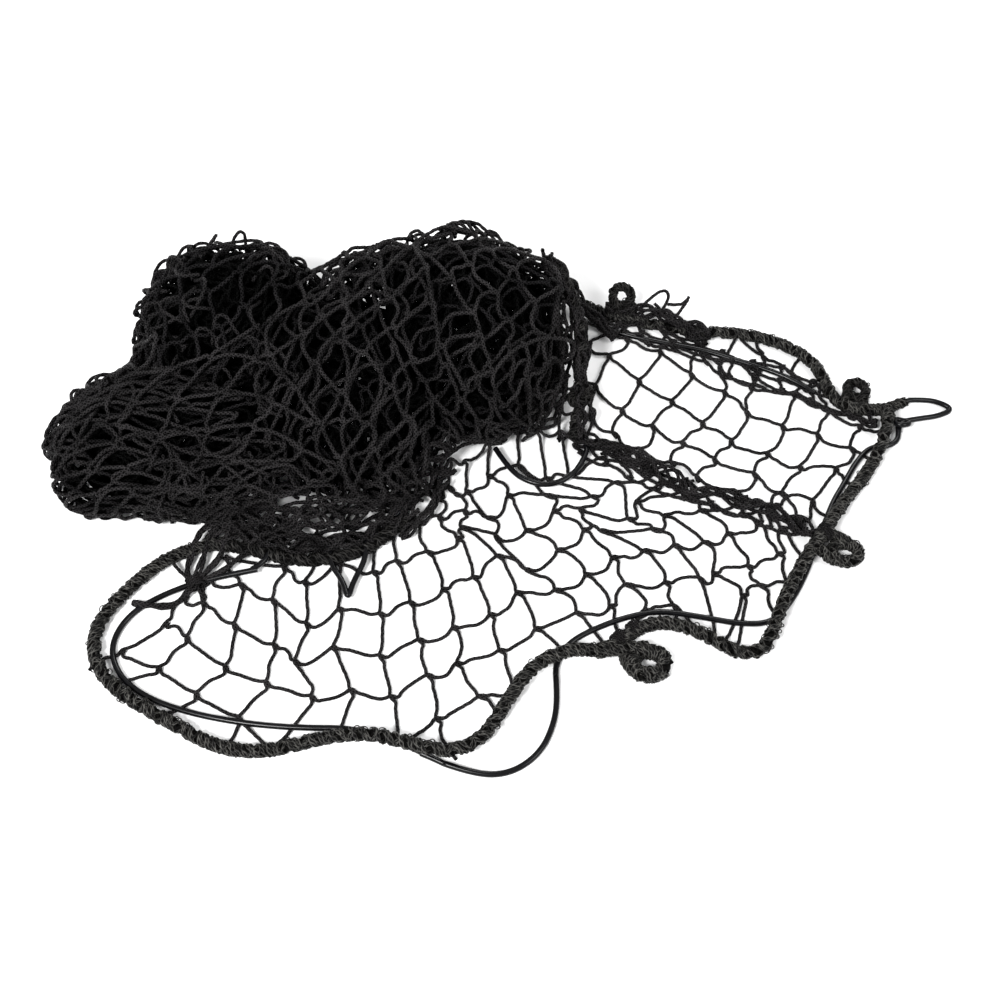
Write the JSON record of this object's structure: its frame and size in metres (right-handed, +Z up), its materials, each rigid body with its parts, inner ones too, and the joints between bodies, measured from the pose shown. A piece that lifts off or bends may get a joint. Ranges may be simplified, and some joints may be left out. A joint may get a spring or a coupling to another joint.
{
  "type": "tennis net",
  "caption": "Short square-mesh tennis net with roped border, rope eyelets and a threaded cord, half gathered in a heap and half spread.",
  "frame": {"origin": "centre of the laid-out net's box, on the floor", "axes": "+X along the length, from the heap towards the roped corner; +Y away from the near border; +Z up from the floor"},
  "size_m": [0.973, 0.6056, 0.174],
  "materials": {
    "netting_twine": "knotless braided synthetic twine, near black, soft sheen",
    "border_rope": "overlocked rope, dark grey and black yarns with small loose loops",
    "eyelet_rope": "overlocked rope turned into small closed rings",
    "coated_cord": "smooth plastic-coated cord, satin black"
  },
  "bodies": {
    "root": {"heap_middle": "netting_twine", "heap_right": "netting_twine", "heap_rear_left": "netting_twine", "heap_left": "netting_twine", "front_tangle": "netting_twine", "right_tangle": "netting_twine", "front_panel": "netting_twine", "rear_panel": "netting_twine", "netting_fold": "netting_twine", "gathered_band": "border_rope", "border_front": "border_rope", "border_middle": "border_rope", "border_right": "border_rope", "border_far": "border_rope", "border_heap_end": "border_rope", "border_heap_side": "border_rope", "border_heap_foot": "border_rope", "cord_left": "coated_cord", "cord_middle": "coated_cord", "cord_rear": "coated_cord", "cord_mid_bight": "coated_cord", "cord_kinked_bight": "coated_cord", "corner_sleeve": "border_rope", "eyelet_heap": "eyelet_rope"},
    "eyelet_near": {"eyelet_near": "eyelet_rope"},
    "eyelet_right": {"eyelet_right": "eyelet_rope"},
    "eyelet_corner": {"eyelet_corner": "eyelet_rope"},
    "eyelet_far": {"eyelet_far": "eyelet_rope"},
    "cord_front_bight": {"cord_front_bight": "coated_cord"},
    "cord_corner_bight": {"cord_corner_bight": "coated_cord"}
  },
  "joints": [
    {"name": "near_eyelet_flip", "type": "hinge", "parent": "root", "child": "eyelet_near", "pos_m": [0.11, -0.167, 0.007], "axis": [-0.6691, -0.7431, 0], "range_deg": [0, 100]},
    {"name": "right_eyelet_flip", "type": "hinge", "parent": "root", "child": "eyelet_right", "pos_m": [0.318, -0.054, 0.018], "axis": [-0.5592, -0.829, 0], "range_deg": [0, 100]},
    {"name": "corner_eyelet_flip", "type": "hinge", "parent": "root", "child": "eyelet_corner", "pos_m": [0.366, 0.121, 0.007], "axis": [0.7771, -0.6293, 0], "range_deg": [0, 100]},
    {"name": "far_eyelet_flip", "type": "hinge", "parent": "root", "child": "eyelet_far", "pos_m": [0.132, 0.243, 0.007], "axis": [0.9703, -0.2419, 0], "range_deg": [-30, 60]},
    {"name": "front_bight_swing", "type": "hinge", "parent": "root", "child": "cord_front_bight", "pos_m": [-0.062, -0.291, 0.003], "axis": [-0.7658, -0.643, 0], "range_deg": [0, 50]},
    {"name": "corner_bight_swing", "type": "hinge", "parent": "root", "child": "cord_corner_bight", "pos_m": [0.429, 0.098, 0.005], "axis": [-0.4041, -0.9091, -0.101], "range_deg": [0, 75]}
  ]
}
